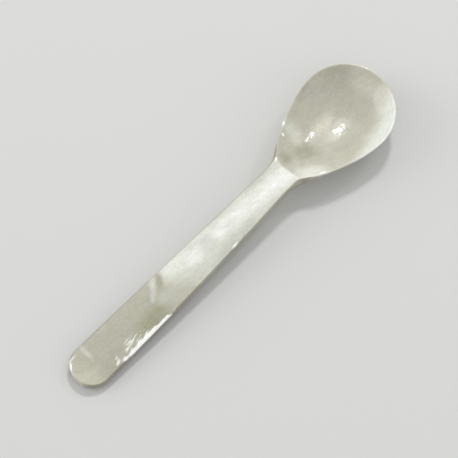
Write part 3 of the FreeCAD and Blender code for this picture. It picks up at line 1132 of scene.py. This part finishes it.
@dataclass(frozen=True)
class Nacre:
    """Polished mother-of-pearl: milky clouds, growth folds, fine scratches, a pearly gloss and
    painted light.
    """

    dull: Colour = (0.500, 0.490, 0.400)
    clouds: tuple[Patch, ...] = (
        # handle: duller reach, olive cloud, cream end
        Patch((-27.5, 0.0), (13.0, 8.0), 0.0, 0.85, 0.70, (0.425, 0.415, 0.328)),
        Patch((-22.9, -2.4), (6.2, 3.1), 8.0, 0.85, 0.20, (0.330, 0.323, 0.210)),
        Patch((-18.0, -1.2), (3.2, 2.4), -20.0, 0.55, 0.20, (0.540, 0.560, 0.485)),
        Patch((-38.5, -2.0), (4.2, 4.0), 0.0, 0.75, 0.20, (0.550, 0.535, 0.420)),
        # middle of the handle and neck: milky and dusky reaches
        Patch((-13.4, 2.0), (2.6, 2.6), -34.0, 0.70, 0.20, (0.745, 0.755, 0.690)),
        Patch((-9.6, 0.2), (3.0, 2.0), -10.0, 0.75, 0.20, (0.800, 0.810, 0.770)),
        Patch((-5.6, 0.4), (2.6, 2.4), -20.0, 0.70, 0.20, (0.560, 0.570, 0.520)),
        Patch((0.0, 3.6), (8.0, 1.5), 0.0, 0.70, 0.20, (0.420, 0.430, 0.370)),
        Patch((-2.5, -3.4), (8.5, 2.2), 4.0, 0.70, 0.20, (0.500, 0.505, 0.450)),
        Patch((10.8, -0.5), (5.0, 1.9), 0.0, 0.85, 0.20, (0.830, 0.845, 0.805)),
        Patch((9.5, 2.6), (5.0, 1.5), 0.0, 0.75, 0.20, (0.500, 0.490, 0.415)),
        # bowl: dusky patches at the neck, paler clouds, warm middle, painted shade on the left wall
        Patch((20.3, 0.0), (4.2, 2.4), -32.0, 0.85, 0.20, (0.355, 0.343, 0.250)),
        Patch((16.3, 1.6), (1.8, 2.0), 0.0, 0.85, 0.20, (0.360, 0.350, 0.262)),
        Patch((21.0, 4.4), (2.4, 3.6), -15.0, 0.85, 0.20, (0.640, 0.660, 0.560)),
        Patch((27.0, 2.2), (4.8, 1.9), 10.0, 0.80, 0.20, (0.680, 0.650, 0.540)),
        Patch((17.2, -3.9), (5.0, 2.3), -38.0, 0.90, 0.20, (0.735, 0.745, 0.665)),
        # painted shade: the bowl's left inner wall, darkened where it faces away from the light
        Patch((29.0, 7.6), (4.5, 2.2), -8.0, 0.60, 0.20, (0.385, 0.385, 0.325)),
        Patch((37.6, 2.0), (2.8, 4.8), 0.0, 0.65, 0.20, (0.660, 0.650, 0.550)),
    )
    folds: tuple[Patch, ...] = (
        Patch((-16.7, 2.0), (1.00, 2.8), -34.0, 0.80, 0.20, (0.350, 0.335, 0.240)),
        Patch((-18.3, 2.0), (0.85, 2.4), -33.0, 0.60, 0.20, (0.670, 0.685, 0.605)),
        Patch((-19.7, 0.7), (0.70, 1.7), -45.0, 0.70, 0.20, (0.560, 0.590, 0.530)),
        Patch((-20.6, 0.9), (0.40, 1.4), -45.0, 0.55, 0.20, (0.350, 0.350, 0.285)),
        Patch((-35.3, 2.1), (0.70, 2.6), -6.0, 0.65, 0.20, (0.640, 0.620, 0.555)),
    )
    scratch_and_glint_marks: tuple[Patch, ...] = (
        # scratches on the handle, painted bright as glints where they catch the light
        Patch((-28.8, -1.65), (1.15, 0.17), 4.0, 0.70, 0.20, (0.950, 0.950, 0.880)),
        Patch((-32.35, -2.5), (0.60, 0.17), 14.0, 0.70, 0.20, (0.950, 0.950, 0.880)),
        Patch((-28.6, -2.45), (0.95, 0.55), 8.0, 0.60, 0.20, (0.900, 0.900, 0.820)),
        Patch((-27.3, -3.40), (1.20, 0.24), 10.0, 0.85, 0.20, (0.980, 0.980, 0.930)),
        Patch((-25.3, -3.15), (0.95, 0.20), 8.0, 0.60, 0.20, (0.950, 0.950, 0.880)),
        # painted highlights: small glints on the edges and the bowl's rim
        Patch((-32.7, -3.35), (0.95, 0.38), 14.0, 0.80, 0.20, (0.930, 0.930, 0.880)),
        Patch((-31.4, -3.70), (0.80, 0.42), 10.0, 0.80, 0.20, (0.950, 0.950, 0.900)),
        Patch((-32.3, -2.95), (0.55, 0.28), 20.0, 0.60, 0.20, (0.850, 0.850, 0.790)),
        Patch((19.12, 5.06), (0.28, 0.38), -30.0, 1.00, 0.60, (1.000, 1.000, 0.970)),
        Patch((20.75, 6.39), (0.55, 0.26), 40.0, 0.90, 0.60, (1.000, 1.000, 0.960)),
        Patch((14.54, 2.47), (0.60, 0.30), 35.0, 0.80, 0.40, (0.980, 0.960, 0.900)),
        Patch((18.46, -5.53), (0.75, 0.35), -25.0, 0.90, 0.50, (1.000, 1.000, 0.970)),
        Patch((-2.55, -3.45), (1.10, 0.26), 2.0, 0.90, 0.30, (0.980, 0.980, 0.930)),
        Patch((-37.9, 3.20), (1.40, 0.26), 4.0, 0.55, 0.30, (0.950, 0.945, 0.900)),
        Patch((-38.95, 2.35), (1.10, 0.28), 50.0, 0.90, 0.40, (0.980, 0.980, 0.940)),
    )
    tints: tuple[Tint, ...] = (
        Tint(Noise((2800.0, 2800.0, 2800.0)), Span(0.3, 0.7, 0.93, 1.06), 0.6),
        Tint(Noise((6400.0, 6400.0, 6400.0), detail=1.0), Span(0.3, 0.7, 0.96, 1.03), 0.5),
        Tint(Noise((420.0, 900.0, 900.0), 0.35, 5.0, 0.6, 0.8), Span(0.3, 0.7, 0.93, 1.06), 0.8),
        Tint(Noise((1000.0, 3400.0, 1500.0), math.radians(-13.0)), Span(0.3, 0.7, 0.95, 1.04), 0.5),
    )
    # pale shell and milky band, partly a painted sheen of the soft light from above
    band: MilkAndSheenBand = MilkAndSheenBand()
    # painted light on the bowl's right inner wall
    painted_rim_light: PaintedRimLight = PaintedRimLight()
    # painted shade on the cut sides and bevels of the handle and neck
    side: SideShade = SideShade()
    # scratches on the handle, painted white as glints where they catch the light
    scratches_and_glints: ScratchesAndPaintedGlints = ScratchesAndPaintedGlints()
    relief: Relief = Relief()
    cloud_border: Wander = Wander(0.7, 2.6)
    mark_border: Wander = Wander(0.16, 1.4)
    facing_up: Span = Span(0.10, 0.40)
    matt: Oval = Oval((17.2, 0.3), (5.5, 4.4), 0.0, 1.0, 0.82)
    roughness: Span = Span(0.0, 1.0, 0.34, 0.60)
    coat: Span = Span(0.0, 1.0, 0.55, 0.0)
    coat_roughness: float = 0.07
    refraction: float = 1.56
    translucency: float = 0.30
    light_depth: float = 0.8 * MM
    light_depth_by_colour: Triple = (1.0, 0.95, 0.8)

    def make(self, name: str) -> bpy.types.Material:
        """Build the material.

        Args:
            name: name of the material.

        Returns:
            The finished material.
        """
        wiring = Wiring(name)
        place = wiring.wandering(self.cloud_border)
        close = wiring.wandering(self.mark_border)
        upper = wiring.ramp(wiring.facing()[2], self.facing_up)
        # scratches on the handle and the painted glints on them
        scratch_and_glint = self.scratches_and_glints.amount(wiring, close, upper)

        # pale shell and milky band, partly a painted sheen of the soft light from above
        colour = self.band.over(wiring, place, self.dull)
        for spot in self.clouds:
            colour = wiring.layer(colour, spot.colour, wiring.inside(place, spot))
        # painted light on the bowl's right inner wall
        colour = self.painted_rim_light.over(wiring, place, colour)
        # painted shade on the cut sides and bevels of the handle and neck
        colour = self.side.over(wiring, colour)
        for spot in self.folds:
            colour = wiring.layer(colour, spot.colour, wiring.inside(close, spot))
        # painted glints on scratches, edges and the rim, shown where the surface faces up
        for spot in self.scratch_and_glint_marks:
            shown = wiring.work_out(Sum.MULTIPLY, wiring.inside(close, spot), upper)
            colour = wiring.layer(colour, spot.colour, shown)
        # painted glints: scratches and the rounded right edge whitened where they catch the light
        colour = wiring.layer(colour, self.scratches_and_glints.colour, scratch_and_glint)
        for tint in self.tints:
            factors = wiring.ramp(wiring.noise(tint.pattern), tint.factors)
            colour = wiring.layer(colour, factors, tint.share, Blend.MULTIPLY)

        dim = wiring.inside(close, self.matt)
        facing = self.relief.facing(wiring, place, scratch_and_glint)
        wiring.finish(
            Base_Color=colour,
            Roughness=wiring.ramp(dim, self.roughness),
            IOR=self.refraction,
            Normal=facing,
            Subsurface_Weight=self.translucency,
            Subsurface_Radius=self.light_depth_by_colour,
            Subsurface_Scale=self.light_depth,
            Coat_Weight=wiring.ramp(dim, self.coat),
            Coat_Roughness=self.coat_roughness,
            Coat_Normal=facing,
        )
        return wiring.material


@dataclass(frozen=True)
class Floor:
    """Plain pale floor under the spoon."""

    side: float = 3.0
    tone: Colour = (0.62, 0.62, 0.61)
    roughness: float = 0.9

    def build(self) -> bpy.types.Object:
        """Lay the floor at the height of the table.

        Returns:
            The floor's object.
        """
        reach = self.side / 2
        signs = ((-1, -1), (1, -1), (1, 1), (-1, 1))
        corners = [(along * reach, across * reach, 0.0) for along, across in signs]
        mesh = bpy.data.meshes.new("floor")
        mesh.from_pydata(corners, [], [(0, 1, 2, 3)])
        wiring = Wiring("pale_floor")
        wiring.finish(Base_Color=self.tone, Roughness=self.roughness)
        mesh.materials.append(wiring.material)
        floor = bpy.data.objects.new("floor", mesh)
        bpy.context.scene.collection.objects.link(floor)
        return floor


@dataclass(frozen=True)
class SoftLight:
    """One round panel of the studio light, aimed at the spoon."""

    name: str
    direction: Triple
    distance: float
    size: float
    power: float

    def build(self, target: Vector) -> bpy.types.Object:
        """Hang the panel in its direction from the target.

        Args:
            target: point that it shines at.

        Returns:
            The light's object.
        """
        data = bpy.data.lights.new(self.name, type="AREA")
        data.shape = "DISK"
        data.size = self.size
        data.energy = self.power
        lamp = bpy.data.objects.new(self.name, data)
        way = Vector(self.direction).normalized()
        lamp.location = target + way * self.distance
        lamp.rotation_euler = (-way).to_track_quat("-Z", "Y").to_euler()
        bpy.context.scene.collection.objects.link(lamp)
        return lamp


@dataclass(frozen=True)
class Studio:
    """Floor, soft light, surroundings and the camera at the photograph's viewing angle."""

    target: Triple = (0.0, -0.393 * MM, 2.5 * MM)
    azimuth: float = math.radians(-46.57)
    elevation: float = math.radians(67.0)
    distance: float = 0.5
    pixels_per_metre: float = 5515.0
    target_pixel: tuple[float, float] = (232.65, 228.59)
    sensor: float = 36.0
    clip: tuple[float, float] = (0.01, 10.0)
    sky_tone: Colour = (1.0, 1.0, 1.0)
    sky_strength: float = 0.68
    lights: tuple[SoftLight, ...] = (
        SoftLight("key", (0.548, 0.325, 0.770), 0.9, 0.13, 2.7),
        SoftLight("side", (0.800, -0.025, 0.598), 1.0, 0.035, 0.7),
        SoftLight("left_panel", (-0.60, 0.75, 0.30), 1.0, 0.80, 4.2),
        SoftLight("right_panel", (0.43, -0.83, 0.38), 1.0, 0.50, 0.6),
    )

    def back(self) -> Vector:
        """Direction from the target to the camera.

        Returns:
            Unit vector.
        """
        level = math.cos(self.elevation)
        aside, away = math.sin(self.azimuth) * level, -math.cos(self.azimuth) * level
        return Vector((aside, away, math.sin(self.elevation)))

    def build_camera(self) -> bpy.types.Object:
        """Place the camera so that the target falls on its pixel.

        Returns:
            The camera's object.
        """
        data = bpy.data.cameras.new("camera")
        data.sensor_width = self.sensor
        data.lens = self.pixels_per_metre * self.distance * self.sensor / IMAGE_SIDE
        data.clip_start, data.clip_end = self.clip
        camera = bpy.data.objects.new("camera", data)
        back = self.back()
        turn = (-back).to_track_quat("-Z", "Y")
        right, up = turn @ Vector((1.0, 0.0, 0.0)), turn @ Vector((0.0, 1.0, 0.0))
        aside = (self.target_pixel[0] - IMAGE_SIDE / 2) / self.pixels_per_metre
        above = (IMAGE_SIDE / 2 - self.target_pixel[1]) / self.pixels_per_metre
        aim = Vector(self.target) - right * aside - up * above
        camera.location = aim + back * self.distance
        camera.rotation_mode = "QUATERNION"
        camera.rotation_quaternion = turn
        bpy.context.scene.collection.objects.link(camera)
        bpy.context.scene.camera = camera
        return camera

    def build_surroundings(self) -> None:
        """Give the scene an even pale sky."""
        world = bpy.data.worlds.new("surroundings")
        world.use_nodes = True
        sky = next(node for node in world.node_tree.nodes if node.type == "BACKGROUND")
        sky.inputs["Color"].default_value = (*self.sky_tone, OPAQUE)
        sky.inputs["Strength"].default_value = self.sky_strength
        bpy.context.scene.world = world

    def build(self) -> None:
        """Build the whole studio."""
        Floor().build()
        for light in self.lights:
            light.build(Vector(self.target))
        self.build_surroundings()
        self.build_camera()
        bpy.context.scene.view_settings.view_transform = "Standard"
        LOG.info("studio: floor, %d lights and camera", len(self.lights))


def main() -> None:
    """Build the spoon's skin, dress it and set up the studio."""
    logging.basicConfig(level=logging.INFO, format="%(name)s: %(message)s")
    spoon = SpoonSkin().build("spoon_skin")
    spoon.data.materials.append(Nacre().make("mother_of_pearl"))
    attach(spoon, "root")
    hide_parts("spoon")
    LOG.info("spoon_skin stands for the node spoon")
    Studio().build()


if __name__ == "__main__":
    main()
